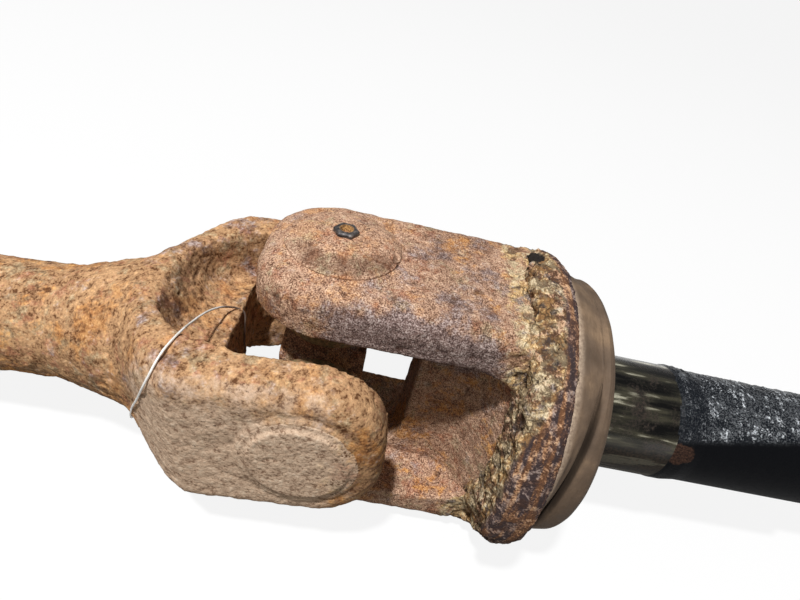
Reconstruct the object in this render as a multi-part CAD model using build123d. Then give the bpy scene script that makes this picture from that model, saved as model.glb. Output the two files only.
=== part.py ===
from build123d import *
from math import radians, sin
import os

# Steering axle shaft: an inner shaft and an outer stub shaft joined by a universal joint.
# Millimetres. The origin is the centre of the joint, where the shafts' axes cross. +X runs outwards
# along the stub shaft, Z is the pin axis of the stub yoke and Y is the pin axis of the inner yoke.

# Universal joint: four needle cups on a forged cross
CUP_RADIUS = 17.46
CUP_END = 53.15
CUP_LENGTH = 26.5
CUP_FLOOR = 4.2
CUP_BORE_RADIUS = 14.1
CUP_CHAMFER = 0.8
TRUNNION_RADIUS = 11.1
RUNNING_GAP = 0.03
NEEDLE_COUNT = 26
NEEDLE_SIDES = 12
NEEDLE_LENGTH = 17.0
NEEDLE_END_GAP = 0.6
WASHER_THICKNESS = 1.2
WASHER_RADIUS = 13.6
WASHER_HOLE_RADIUS = 3.2
CROSS_ARM_RADIUS = 15.4
CROSS_SHOULDER = 21.5
CROSS_HUB_SIDE = 35.0
CROSS_HUB_DEPTH = 30.8
CROSS_HUB_FILLET = 7.0
GREASE_HOLE_RADIUS = 2.4

# Inside snap clips, seals and pressed guards at the mouths of the cups
CLIP_GROOVE_DEPTH = 1.1
CLIP_THICKNESS = 1.9
CLIP_OUTER_RADIUS = 20.4
CLIP_OPENING_DEGREES = 80.0
CLIP_LUG_RADIUS = 2.6
GUARD_SHEET = 1.2
GUARD_RADIUS = 18.2
GUARD_LIP_RADIUS = 19.3
GUARD_HEIGHT = 5.6
SEAL_RADIUS = 17.0
SEAL_HEIGHT = 3.4
TRUNNION_GRIP_GAP = 0.1

# Flush grease fitting in the middle of the upper cup
FITTING_HEX_FLATS = 7.9
FITTING_HEX_HEIGHT = 6.2
FITTING_HEX_CHAMFER = 0.6
FITTING_SHANK_RADIUS = 3.0
FITTING_SHANK_LENGTH = 3.6
FITTING_HOLE_RADIUS = 1.1
FITTING_DIMPLE_RADIUS = 2.2
FITTING_DIMPLE_DEPTH = 1.6
FITTING_BALL_RADIUS = 1.4
FITTING_BALL_SEAT = 1.2

# Forged ears; faces are measured from the joint along the pin axis
INNER_EAR_FACE = 51.0
STUB_EAR_FACE = 52.1
EAR_INNER_FACE = 36.8
EAR_HALF_WIDTH = 31.5
EAR_TIP_CORNER = 25.0
EAR_EDGE_RADIUS = 8.0
EAR_BOSS_RADIUS = 20.5
EAR_BOSS_HEIGHT = 0.8
EAR_PAD_RADIUS = 22.5
EAR_PAD_FACE = 35.4
SPOT_FACE_START = 24.0
THROAT_CORNER = 16.0

# Bridge between the arms, hollowed above and below for the other yoke's ears
BRIDGE_HALF_THICKNESS = 10.5
HOLLOW_TOP = 60.0
HOLLOW_FRONT = 20.0

# Inner shaft, along -X before it is bent at the joint
BEND_DEGREES = 5.0
INNER_SHOULDER_START = 40.0
INNER_SHOULDER_SECTIONS = (
    # position along the shaft, half height, half width, corner radius
    (40.0, 51.0, 31.5, 8.0),
    (46.0, 48.0, 31.5, 9.5),
    (54.0, 41.5, 31.2, 13.0),
    (62.0, 34.0, 30.8, 20.0),
    (69.0, 30.4, 30.4, 30.2),
)
INNER_NECK_START = 69.0
INNER_NECK_RADIUS = 30.4
INNER_NECK_END = 99.0
INNER_SHAFT_RADIUS = 22.0
INNER_EAR_REACH = 27.8
INNER_THROAT = 34.5
INNER_HOLLOW_END = 60.0
INNER_HOLLOW_CENTRE = 21.0
INNER_HOLLOW_HALF_WIDTH = 34.5
INNER_HOLLOW_FLANK = (-47.0, 12.0)
INNER_HOLLOW_FLANK_CORNER = 18.0
INNER_HOLLOW_RIM_HEIGHT = 33.0
INNER_SEAL_START = 330.0
INNER_SEAL_END = 372.0
INNER_SEAL_RADIUS = 20.6
INNER_SPLINE_START = 390.0
INNER_LENGTH = 452.0

# Stub shaft, along +X
STUB_EAR_REACH = 26.8
STUB_THROAT = 36.0
BASE_FACE = 70.0
BASE_THICKNESS = 8.0
BASE_RADIUS = 42.0
STUB_HOLLOW_END = 70.5
STUB_HOLLOW_CORNER = 22.0
STUB_HOLLOW_FLANK = (-56.0, 13.0)
STUB_HOLLOW_FLANK_CORNER = 20.0
STUB_HOLLOW_RIM_HEIGHT = 38.0
SLINGER_SEAT_RADIUS = 34.0
SLINGER_SEAT_END = 77.5
SEAL_SEAT_RADIUS = 29.0
SEAL_SEAT_END = 93.0
SEAT_TAPER = 3.0
JOURNAL_RADIUS = 23.05
JOURNAL_END = 143.0
STEM_RADIUS = 22.2
STEM_TAPER_END = 149.0
STEM_END = 210.0
STUB_SPLINE_START = 214.0
STUB_LENGTH = 274.0
SNAP_GROOVE_END = 266.0
SNAP_GROOVE_WIDTH = 2.4
SNAP_GROOVE_DEPTH = 1.6

# Splines, the same at both ends
SPLINE_TEETH = 35
SPLINE_RADIUS = 19.05
SPLINE_DEPTH = 1.35
SPLINE_ROOT_HALF_WIDTH = 0.45
SPLINE_TIP_HALF_WIDTH = 0.95
SPLINE_RUN_OUT = 9.0
END_CHAMFER = 1.6
LATHE_CENTRE_RADIUS = 4.0
LATHE_CENTRE_DEPTH = 8.0

# Dust slinger, and the two-lip seal in its pressed case, on the stub shaft
SLINGER_RADIUS = 59.4
SLINGER_START = 70.0
SLINGER_END = 78.0
SLINGER_WORN_FLAT = 58.7
SLINGER_RIM_START = 66.0
SLINGER_FACE_RADIUS = 46.0
SLINGER_RIM_RADIUS = 51.0
CASE_SHEET = 2.0
CASE_FACE_RADIUS = 40.0
CASE_END = 92.0
SEAL_LIP_RADIUS = 52.5
SEAL_LIP_END = 87.4
SEAL_GROOVE_RADIUS = 44.5
SEAL_GROOVE_END = 89.0
SEAL_BODY_RADIUS = 50.5
SEAL_END = 97.4
SEAL_HOLLOW_RADIUS = 43.0
SEAL_THROAT_RADIUS = 36.0

CUP_MOUTH = CUP_END - CUP_LENGTH
CUP_FLOOR_FACE = CUP_END - CUP_FLOOR
CLIP_GROOVE_RADIUS = CUP_RADIUS - CLIP_GROOVE_DEPTH
CLIP_START = EAR_PAD_FACE - CLIP_THICKNESS
TRUNNION_END = CUP_FLOOR_FACE - WASHER_THICKNESS - RUNNING_GAP
NEEDLE_RADIUS = (CUP_BORE_RADIUS - TRUNNION_RADIUS) / 2 - RUNNING_GAP
NEEDLE_PITCH_RADIUS = (CUP_BORE_RADIUS + TRUNNION_RADIUS) / 2
NEEDLE_START = TRUNNION_END - NEEDLE_END_GAP - NEEDLE_LENGTH
FITTING_TOP = CUP_END + FITTING_HEX_HEIGHT
FITTING_BALL_TOP = FITTING_TOP - FITTING_DIMPLE_DEPTH - FITTING_BALL_SEAT
BEND = Rot(0, -BEND_DEGREES, 0)

# Turns that carry a part built along +Z onto each arm of the cross
UPPER = Rot(0, 0, 0)
LOWER = Rot(180, 0, 0)
NEAR = Rot(90, 0, 0)
FAR = Rot(-90, 0, 0)
STUB_ARMS = {"upper": UPPER, "lower": LOWER}
INNER_ARMS = {"near": NEAR, "far": FAR}
ARMS = STUB_ARMS | INNER_ARMS


def turned_on_x(points):
    """Turn a closed half profile of (x, radius) points about the X axis."""
    return revolve(make_face(Polyline(*points, close=True)), Axis.X)


def turned_on_z(points):
    """Turn a closed half profile of (radius, z) points about the Z axis."""
    outline = Polyline(*[(radius, 0, z) for radius, z in points], close=True)
    return revolve(make_face(outline), Axis.Z)


def disc_z(radius, start, end):
    """Solid cylinder about Z between two heights."""
    return Pos(0, 0, start) * Cylinder(radius, end - start, align=(Align.CENTER, Align.CENTER, Align.MIN))


def arms_bar(root, reach, face):
    """Both arms as one solid bar from x = -root to the blunt round tips, with its outer edges rounded."""
    spare = 2 * EAR_EDGE_RADIUS
    length = root + reach + spare
    outline = Pos(reach - length / 2, 0) * Rectangle(length, 2 * EAR_HALF_WIDTH)
    outline = fillet([corner for corner in outline.vertices() if corner.X > 0], EAR_TIP_CORNER)
    bar = extrude(Plane.XZ * outline, face, both=True)
    rim = [
        edge
        for edge in bar.edges()
        if abs(abs(edge.center().Y) - face) < 0.01 and edge.center().X > reach - length + 0.01
    ]
    bar = fillet(rim, EAR_EDGE_RADIUS)
    return bar - Pos(-root - 50, 0, 0) * Box(100, 4 * face, 4 * EAR_HALF_WIDTH)


def across_shaft(position, half_height, half_width, corner):
    """Rounded-rectangle section of a yoke, square to its shaft."""
    return Plane.YZ.offset(-position) * RectangleRounded(2 * half_height, 2 * half_width, corner)


def inner_shoulder():
    """Forged shoulder that draws the two arms in to the round neck."""
    return loft([across_shaft(*section) for section in INNER_SHOULDER_SECTIONS])


def throat(depth):
    """U-shaped space between the arms, open at the tips."""
    reach = 80.0
    outline = Pos((reach - depth) / 2, 0) * Rectangle(reach + depth, 2 * EAR_INNER_FACE)
    outline = fillet([corner for corner in outline.vertices() if corner.X < 0], THROAT_CORNER)
    return extrude(outline, 2 * EAR_HALF_WIDTH, both=True)


def hollows(plan, end, flank_foot, flank_corner, rim_height):
    """Dished spaces above and below the bridge, where the other yoke's ears swing in."""
    foot_x, foot_height = flank_foot
    flank = make_face(
        Polyline(
            (-HOLLOW_FRONT, BRIDGE_HALF_THICKNESS),
            (foot_x, foot_height),
            (-end, rim_height),
            (-end, HOLLOW_TOP),
            (-HOLLOW_FRONT, HOLLOW_TOP),
            close=True,
        )
    )
    foot = flank.vertices().sort_by_distance((foot_x, foot_height, 0))[0]
    flank = fillet(foot, flank_corner)
    upper = extrude(plan, HOLLOW_TOP) & extrude(Plane.XZ * flank, EAR_INNER_FACE, both=True)
    return upper + mirror(upper, Plane.XY)


def inner_hollow_plan():
    """Oval outline of the dish in the inner yoke, seen along Z."""
    oval = Pos(-INNER_HOLLOW_CENTRE, 0) * Ellipse(
        INNER_HOLLOW_END - INNER_HOLLOW_CENTRE, INNER_HOLLOW_HALF_WIDTH
    )
    front = Rectangle(2 * INNER_HOLLOW_CENTRE, 2 * INNER_HOLLOW_HALF_WIDTH)
    return oval + front


def stub_hollow_plan():
    """Square outline with round corners of the recess in the stub yoke, seen along Z."""
    length = STUB_HOLLOW_END + HOLLOW_FRONT
    outline = Pos(HOLLOW_FRONT - length / 2, 0) * Rectangle(length, 2 * EAR_INNER_FACE)
    return fillet([corner for corner in outline.vertices() if corner.X < 0], STUB_HOLLOW_CORNER)


def ear_details(yoke, face):
    """Spot-faced pads inside the ears, low bosses outside, and the two cup bores."""
    boss_face = face + EAR_BOSS_HEIGHT
    for turn in INNER_ARMS.values():
        yoke += turn * disc_z(EAR_PAD_RADIUS, EAR_PAD_FACE, EAR_INNER_FACE + 1)
        yoke += turn * disc_z(EAR_BOSS_RADIUS, face - 2, boss_face)
        yoke -= turn * disc_z(EAR_PAD_RADIUS, SPOT_FACE_START, EAR_PAD_FACE)
        yoke -= turn * disc_z(CUP_RADIUS, EAR_PAD_FACE - 1, boss_face + 1)
    return yoke


def tooth_space(position, root, rim):
    """Section of one spline tooth space, square to the shaft."""
    return make_face(
        Polyline(
            (position, -SPLINE_ROOT_HALF_WIDTH, root),
            (position, SPLINE_ROOT_HALF_WIDTH, root),
            (position, SPLINE_TIP_HALF_WIDTH, rim),
            (position, -SPLINE_TIP_HALF_WIDTH, rim),
            close=True,
        )
    )


def splined(shaft, start, end):
    """Cut the tooth spaces in from the end at x = end, each with the ramp that a hob leaves."""
    outwards = 1 if end > start else -1
    foot = start + outwards * SPLINE_RUN_OUT
    root = SPLINE_RADIUS - SPLINE_DEPTH
    rim = SPLINE_RADIUS + 0.4
    space = tooth_space(foot, root, rim)
    straight = extrude(space, abs(end - foot) + 1, dir=(outwards, 0, 0))
    ramp = loft([space, tooth_space(start, SPLINE_RADIUS, rim + SPLINE_DEPTH)], ruled=True)
    cutter = straight + ramp
    teeth = [Rot(360 / SPLINE_TEETH * tooth, 0, 0) * cutter for tooth in range(SPLINE_TEETH)]
    return shaft - teeth


def lathe_centre(end):
    """Conical centre hole in the shaft's end at x = end."""
    inwards = -1 if end > 0 else 1
    pilot = LATHE_CENTRE_RADIUS / 3
    floor = end + inwards * LATHE_CENTRE_DEPTH
    return turned_on_x(
        [
            (end - inwards, 0),
            (end - inwards, LATHE_CENTRE_RADIUS),
            (end, LATHE_CENTRE_RADIUS),
            (end + inwards * LATHE_CENTRE_DEPTH * 0.6, pilot),
            (floor, pilot),
            (floor, 0),
        ]
    )


def inner_shaft():
    """Yoke, neck, seal journal and splines of the inner shaft, forged in one piece."""
    turned = turned_on_x(
        [
            (-INNER_NECK_START, 0),
            (-INNER_NECK_START, INNER_NECK_RADIUS),
            (-INNER_NECK_END, INNER_SHAFT_RADIUS),
            (-INNER_SEAL_START, INNER_SHAFT_RADIUS),
            (-INNER_SEAL_START - 1, INNER_SEAL_RADIUS),
            (-INNER_SEAL_END, INNER_SEAL_RADIUS),
            (-INNER_SEAL_END - 1, SPLINE_RADIUS),
            (-INNER_LENGTH + END_CHAMFER, SPLINE_RADIUS),
            (-INNER_LENGTH, SPLINE_RADIUS - END_CHAMFER),
            (-INNER_LENGTH, 0),
        ]
    )
    yoke = arms_bar(INNER_SHOULDER_START, INNER_EAR_REACH, INNER_EAR_FACE)
    yoke += inner_shoulder() + turned
    yoke -= throat(INNER_THROAT)
    yoke -= hollows(
        inner_hollow_plan(),
        INNER_HOLLOW_END,
        INNER_HOLLOW_FLANK,
        INNER_HOLLOW_FLANK_CORNER,
        INNER_HOLLOW_RIM_HEIGHT,
    )
    yoke = ear_details(yoke, INNER_EAR_FACE)
    yoke = splined(yoke, -INNER_SPLINE_START, -INNER_LENGTH)
    return BEND * (yoke - lathe_centre(-INNER_LENGTH))


def stub_yoke():
    """Straight-armed yoke on its round base, with its pins on Z."""
    base = turned_on_x(
        [
            (-BASE_FACE, 0),
            (-BASE_FACE, BASE_RADIUS),
            (-BASE_FACE + BASE_THICKNESS, BASE_RADIUS),
            (-BASE_FACE + BASE_THICKNESS, 0),
        ]
    )
    yoke = arms_bar(BASE_FACE, STUB_EAR_REACH, STUB_EAR_FACE) + base
    yoke -= throat(STUB_THROAT)
    yoke -= hollows(
        stub_hollow_plan(),
        STUB_HOLLOW_END,
        STUB_HOLLOW_FLANK,
        STUB_HOLLOW_FLANK_CORNER,
        STUB_HOLLOW_RIM_HEIGHT,
    )
    yoke = ear_details(yoke, STUB_EAR_FACE)
    return Rot(90, 0, 0) * Rot(0, 0, 180) * yoke


def stub_shaft():
    """Yoke, base, seats, bearing journal and splines of the stub shaft, forged in one piece."""
    turned = turned_on_x(
        [
            (BASE_FACE - 1, 0),
            (BASE_FACE - 1, SLINGER_SEAT_RADIUS),
            (SLINGER_SEAT_END, SLINGER_SEAT_RADIUS),
            (SLINGER_SEAT_END, SEAL_SEAT_RADIUS),
            (SEAL_SEAT_END, SEAL_SEAT_RADIUS),
            (SEAL_SEAT_END + SEAT_TAPER, JOURNAL_RADIUS),
            (JOURNAL_END, JOURNAL_RADIUS),
            (STEM_TAPER_END, STEM_RADIUS),
            (STEM_END, STEM_RADIUS),
            (STUB_SPLINE_START, SPLINE_RADIUS),
            (SNAP_GROOVE_END - SNAP_GROOVE_WIDTH, SPLINE_RADIUS),
            (SNAP_GROOVE_END - SNAP_GROOVE_WIDTH, SPLINE_RADIUS - SNAP_GROOVE_DEPTH),
            (SNAP_GROOVE_END, SPLINE_RADIUS - SNAP_GROOVE_DEPTH),
            (SNAP_GROOVE_END, SPLINE_RADIUS),
            (STUB_LENGTH - END_CHAMFER, SPLINE_RADIUS),
            (STUB_LENGTH, SPLINE_RADIUS - END_CHAMFER),
            (STUB_LENGTH, 0),
        ]
    )
    shaft = stub_yoke() + turned
    shaft = splined(shaft, STUB_SPLINE_START, STUB_LENGTH)
    return shaft - lathe_centre(STUB_LENGTH)


def joint_cross():
    """Forged cross with ground trunnions and crossed grease passages."""
    block = Box(CROSS_HUB_DEPTH, CROSS_HUB_SIDE, CROSS_HUB_SIDE)
    cross = fillet(block.edges().filter_by(Axis.X), CROSS_HUB_FILLET)
    for turn in ARMS.values():
        cross += turn * disc_z(CROSS_ARM_RADIUS, 0, CROSS_SHOULDER)
        trunnion = disc_z(TRUNNION_RADIUS, 0, TRUNNION_END)
        cross += turn * chamfer(trunnion.edges().group_by(Axis.Z)[-1], CUP_CHAMFER)
    for turn in ARMS.values():
        cross -= turn * disc_z(GREASE_HOLE_RADIUS, 0, TRUNNION_END + 1)
    return cross


def bearing_cup(fitting_hole):
    """Deep cup with a clip groove round its outside, and a fitting hole in the floor of one."""
    cup = turned_on_z(
        [
            (0, CUP_FLOOR_FACE),
            (0, CUP_END),
            (CUP_RADIUS - CUP_CHAMFER, CUP_END),
            (CUP_RADIUS, CUP_END - CUP_CHAMFER),
            (CUP_RADIUS, EAR_PAD_FACE),
            (CLIP_GROOVE_RADIUS, EAR_PAD_FACE),
            (CLIP_GROOVE_RADIUS, CLIP_START),
            (CUP_RADIUS, CLIP_START),
            (CUP_RADIUS, CUP_MOUTH + CUP_CHAMFER),
            (CUP_RADIUS - CUP_CHAMFER, CUP_MOUTH),
            (CUP_BORE_RADIUS, CUP_MOUTH),
            (CUP_BORE_RADIUS, CUP_FLOOR_FACE),
        ]
    )
    if fitting_hole:
        cup -= disc_z(FITTING_SHANK_RADIUS, CUP_FLOOR_FACE - 1, CUP_END + 1)
    return cup


def needle_rollers():
    """Full complement of needle rollers round one trunnion, each a plain many-sided bar."""
    end = RegularPolygon(NEEDLE_RADIUS, NEEDLE_SIDES)
    needle = extrude(Pos(NEEDLE_PITCH_RADIUS, 0, NEEDLE_START) * end, NEEDLE_LENGTH)
    pitch = 360 / NEEDLE_COUNT
    return Compound([Rot(0, 0, pitch * place) * needle for place in range(NEEDLE_COUNT)])


def thrust_washer():
    """Plain washer on the trunnion's end, running against the cup's floor."""
    washer = disc_z(WASHER_RADIUS, TRUNNION_END, TRUNNION_END + WASHER_THICKNESS)
    return washer - disc_z(WASHER_HOLE_RADIUS, 0, CUP_END)


def snap_clip():
    """Open spring clip in the cup's groove, bearing on the pad inside the ear."""
    clip = Circle(CLIP_OUTER_RADIUS) - Circle(CLIP_GROOVE_RADIUS)
    reach = 2 * CLIP_OUTER_RADIUS
    half = CLIP_OPENING_DEGREES / 2
    mouth = make_face(
        Polyline(
            (0, 0),
            (reach, -reach * sin(radians(half))),
            (reach, reach * sin(radians(half))),
            close=True,
        )
    )
    clip -= mouth
    lug_place = (CLIP_OUTER_RADIUS + CLIP_GROOVE_RADIUS) / 2 + 0.4
    for side in (1, -1):
        clip += Rot(0, 0, side * (half + 4)) * Pos(lug_place, 0) * Circle(CLIP_LUG_RADIUS)
    clip -= Circle(CLIP_GROOVE_RADIUS)
    return extrude(Pos(0, 0, CLIP_START) * clip, CLIP_THICKNESS)


def cup_seal():
    """Rubber seal on the trunnion's root, facing the cup's mouth."""
    base = CROSS_SHOULDER + GUARD_SHEET
    ring = disc_z(SEAL_RADIUS, base, base + SEAL_HEIGHT)
    return ring - disc_z(TRUNNION_RADIUS + TRUNNION_GRIP_GAP, 0, CUP_END)


def seal_guard():
    """Pressed steel dish on the cross shoulder, flared round the cup's mouth."""
    hole = TRUNNION_RADIUS + TRUNNION_GRIP_GAP
    inside = CROSS_SHOULDER + GUARD_SHEET
    top = CROSS_SHOULDER + GUARD_HEIGHT
    return turned_on_z(
        [
            (hole, CROSS_SHOULDER),
            (GUARD_RADIUS, CROSS_SHOULDER),
            (GUARD_LIP_RADIUS, top),
            (GUARD_LIP_RADIUS - GUARD_SHEET, top),
            (GUARD_RADIUS - GUARD_SHEET, inside),
            (hole, inside),
        ]
    )


def grease_fitting():
    """Hexagonal flush fitting with a dimple for the grease gun's needle."""
    shank = disc_z(FITTING_SHANK_RADIUS, CUP_END - FITTING_SHANK_LENGTH, CUP_END)
    outline = RegularPolygon(FITTING_HEX_FLATS / 2, 6, major_radius=False)
    head = extrude(Pos(0, 0, CUP_END) * outline, FITTING_HEX_HEIGHT)
    head = chamfer(head.edges().group_by(Axis.Z)[-1], FITTING_HEX_CHAMFER)
    dimple_foot = FITTING_TOP - FITTING_DIMPLE_DEPTH
    ball_bore = FITTING_BALL_RADIUS + RUNNING_GAP
    passage = turned_on_z(
        [
            (0, FITTING_TOP + 1),
            (FITTING_DIMPLE_RADIUS, FITTING_TOP + 1),
            (FITTING_DIMPLE_RADIUS, FITTING_TOP - 0.3),
            (FITTING_HOLE_RADIUS, dimple_foot),
            (FITTING_HOLE_RADIUS, FITTING_BALL_TOP),
            (ball_bore, FITTING_BALL_TOP),
            (ball_bore, CUP_END - 0.5),
            (FITTING_HOLE_RADIUS, CUP_END - 1.2),
            (FITTING_HOLE_RADIUS, CUP_END - FITTING_SHANK_LENGTH - 1),
            (0, CUP_END - FITTING_SHANK_LENGTH - 1),
        ]
    )
    return shank + head - passage


def fitting_ball():
    """Check ball held in the fitting's bore."""
    return Pos(0, 0, FITTING_BALL_TOP - FITTING_BALL_RADIUS - RUNNING_GAP) * Sphere(FITTING_BALL_RADIUS)


def dust_slinger():
    """Slinger pressed on behind the stub yoke, its thick rim turned forwards round the yoke's base."""
    slinger = turned_on_x(
        [
            (SLINGER_START, SLINGER_SEAT_RADIUS),
            (SLINGER_START, SLINGER_FACE_RADIUS),
            (SLINGER_RIM_START, SLINGER_RIM_RADIUS),
            (SLINGER_RIM_START, SLINGER_RADIUS - 1.6),
            (SLINGER_RIM_START + 1.6, SLINGER_RADIUS),
            (SLINGER_END - 1, SLINGER_RADIUS),
            (SLINGER_END, SLINGER_RADIUS - 1),
            (SLINGER_END, SLINGER_SEAT_RADIUS),
        ]
    )
    worn = Pos(SLINGER_START, 0, -SLINGER_WORN_FLAT - 10) * Box(30, 2 * SLINGER_RADIUS, 20)
    return slinger - worn - stub_yoke()


def seal_case():
    """Pressed steel ring that carries the rubber seal on the shaft."""
    return turned_on_x(
        [
            (SLINGER_END, SEAL_SEAT_RADIUS),
            (SLINGER_END, CASE_FACE_RADIUS),
            (SLINGER_END + CASE_SHEET, CASE_FACE_RADIUS),
            (SLINGER_END + CASE_SHEET, SEAL_SEAT_RADIUS + CASE_SHEET),
            (CASE_END, SEAL_SEAT_RADIUS + CASE_SHEET),
            (CASE_END, SEAL_SEAT_RADIUS),
        ]
    )


def shaft_seal():
    """Rubber ring with a broad lip on the slinger's side, a narrow slit, and a round lip outside."""
    sleeve = SEAL_SEAT_RADIUS + CASE_SHEET
    return turned_on_x(
        [
            (SLINGER_END + CASE_SHEET, sleeve),
            (SLINGER_END + CASE_SHEET, CASE_FACE_RADIUS),
            (SLINGER_END, CASE_FACE_RADIUS),
            (SLINGER_END, SEAL_LIP_RADIUS - 1),
            (SLINGER_END + 1, SEAL_LIP_RADIUS),
            (SEAL_LIP_END - 6, SEAL_LIP_RADIUS),
            (SEAL_LIP_END - 1, SEAL_LIP_RADIUS - 1.2),
            (SEAL_LIP_END, SEAL_LIP_RADIUS - 2.2),
            (SEAL_LIP_END, SEAL_GROOVE_RADIUS),
            (SEAL_GROOVE_END, SEAL_GROOVE_RADIUS),
            (SEAL_GROOVE_END, SEAL_BODY_RADIUS - 1),
            (SEAL_GROOVE_END + 0.8, SEAL_BODY_RADIUS),
            (SEAL_END - 2.8, SEAL_BODY_RADIUS - 0.8),
            (SEAL_END - 0.8, SEAL_BODY_RADIUS - 2.2),
            (SEAL_END, SEAL_BODY_RADIUS - 4),
            (SEAL_END, SEAL_HOLLOW_RADIUS),
            (CASE_END, SEAL_THROAT_RADIUS),
            (CASE_END - 2, sleeve),
        ]
    )


def main():
    os.makedirs("parts", exist_ok=True)
    parts = {
        "inner_shaft": inner_shaft(),
        "stub_shaft": stub_shaft(),
        "joint_cross": joint_cross(),
        "dust_slinger": dust_slinger(),
        "seal_case": seal_case(),
        "shaft_seal": shaft_seal(),
        "grease_fitting": grease_fitting(),
        "fitting_ball": fitting_ball(),
    }
    for arm, turn in ARMS.items():
        parts[f"bearing_cup_{arm}"] = turn * bearing_cup(arm == "upper")
        parts[f"needle_rollers_{arm}"] = turn * needle_rollers()
        parts[f"thrust_washer_{arm}"] = turn * thrust_washer()
        parts[f"snap_clip_{arm}"] = turn * snap_clip()
        parts[f"cup_seal_{arm}"] = turn * cup_seal()
        parts[f"seal_guard_{arm}"] = turn * seal_guard()
    for node, shape in parts.items():
        export_step(shape, f"parts/{node}.step")


if __name__ == "__main__":
    main()
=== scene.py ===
from math import atan2, cos, degrees, hypot, pi, radians, sin

import bmesh
import bpy
from bpy.props import FloatProperty, FloatVectorProperty, PointerProperty
from mathutils import Matrix, Vector, noise


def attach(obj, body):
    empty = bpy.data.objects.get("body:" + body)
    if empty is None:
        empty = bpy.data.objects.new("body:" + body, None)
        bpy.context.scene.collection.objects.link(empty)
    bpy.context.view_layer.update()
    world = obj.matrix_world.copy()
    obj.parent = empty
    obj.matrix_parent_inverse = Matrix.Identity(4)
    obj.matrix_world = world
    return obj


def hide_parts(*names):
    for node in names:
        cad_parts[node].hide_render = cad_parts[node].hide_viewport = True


bl_info = {
    "name": "Rusted steering axle shaft",
    "version": (1, 0, 0),
    "blender": (4, 5, 0),
    "location": "View3D > Sidebar > Axle shaft",
    "description": "Builds the rust, scale, seal and grease of a steering axle shaft round its frame",
    "category": "Add Mesh",
}

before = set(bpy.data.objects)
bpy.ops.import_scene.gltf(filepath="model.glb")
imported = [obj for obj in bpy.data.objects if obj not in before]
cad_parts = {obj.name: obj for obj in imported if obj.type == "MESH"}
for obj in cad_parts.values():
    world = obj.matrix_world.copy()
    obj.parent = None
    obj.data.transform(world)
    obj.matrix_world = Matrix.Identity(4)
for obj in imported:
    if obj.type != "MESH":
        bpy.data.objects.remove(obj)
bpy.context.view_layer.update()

MM = 0.001
FULL_TURN = 2 * pi
MERGE_DISTANCE = 0.01

# Places taken from the frame, in millimetres
BEND = radians(-5.0)
INNER_AXIS = Vector((-cos(BEND), 0, sin(BEND)))
NECK_CUT = 106.0
INNER_BAR_RADIUS = 22.0
INNER_BAR_END = 330.0
INNER_JOURNAL_CUT = 331.6
BASE_CUT = 74.0
STEM_CUT = 211.6
BOSS_FACE = {"upper": 52.9, "lower": 52.9, "near": 51.8, "far": 51.8}
ARM_AXES = {"upper": Vector((0, 0, 1)), "lower": Vector((0, 0, -1)),
            "near": Vector((0, -1, 0)), "far": Vector((0, 1, 0))}
CUP_BODIES = {"upper": "stub", "lower": "stub", "near": "inner", "far": "inner"}
CUP_BORE_RADIUS = 17.6
EAR_START = 33.0
FLOOR_HEIGHT = -58.7

FORGING_SEEDS = {"inner": 3.0, "stub": 21.0, "cross": 51.0}
# Vector noise would take its offsets from the clock without a seed
NOISE_SEED = 7

# The photograph's camera, fitted in the frame
CAMERA_PLACE = (0.0081, -0.1563, 0.1536)
CAMERA_RIGHT = Vector((0.976, 0.063, 0.208))
CAMERA_UP = Vector((-0.203, 0.606, 0.769))
SENSOR_WIDTH = 36.0
FOCAL_PIXELS = 541.35
PICTURE_WIDTH = 800


def srgb(red, green, blue):
    """Linear colour for a colour named in 0 to 255 screen values."""
    linear = []
    for channel in (red, green, blue):
        share = channel / 255
        linear.append(share / 12.92 if share <= 0.04045 else ((share + 0.055) / 1.055) ** 2.4)
    return tuple(linear)


def smooth(value, low, high):
    """Smooth step from 0 at low to 1 at high."""
    share = min(max((value - low) / (high - low), 0.0), 1.0)
    return share * share * (3 - 2 * share)


def band(value, start, full, fading, end):
    """1 between full and fading, and 0 before the start and past the end."""
    return smooth(value, start, full) * (1 - smooth(value, fading, end))


class AxleRustSettings(bpy.types.PropertyGroup):
    """Sizes and colours of the rusted forgings."""

    detail: FloatProperty(
        name="Rust detail", description="Smallest bump modelled on the forgings",
        default=0.0008, min=0.0004, max=0.004, unit="LENGTH")
    height: FloatProperty(
        name="Rust height", description="Height of the larger lumps of rust",
        default=0.00034, min=0.0, max=0.002, unit="LENGTH")
    crown: FloatProperty(
        name="Crust on the fitting's cup", description="Height of the rust piled round the grease fitting",
        default=0.0042, min=0.0, max=0.006, unit="LENGTH")
    ochre: FloatVectorProperty(
        name="Ochre rust", description="Main colour of the inner shaft",
        default=srgb(186, 145, 106), min=0, max=1, size=3, subtype="COLOR")
    sandy: FloatVectorProperty(
        name="Sandy rust", description="Main colour of the stub shaft's yoke",
        default=srgb(184, 146, 120), min=0, max=1, size=3, subtype="COLOR")
    dusty: FloatVectorProperty(
        name="Dust", description="Dry dust on the inner yoke's outer face",
        default=srgb(212, 183, 156), min=0, max=1, size=3, subtype="COLOR")


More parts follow.
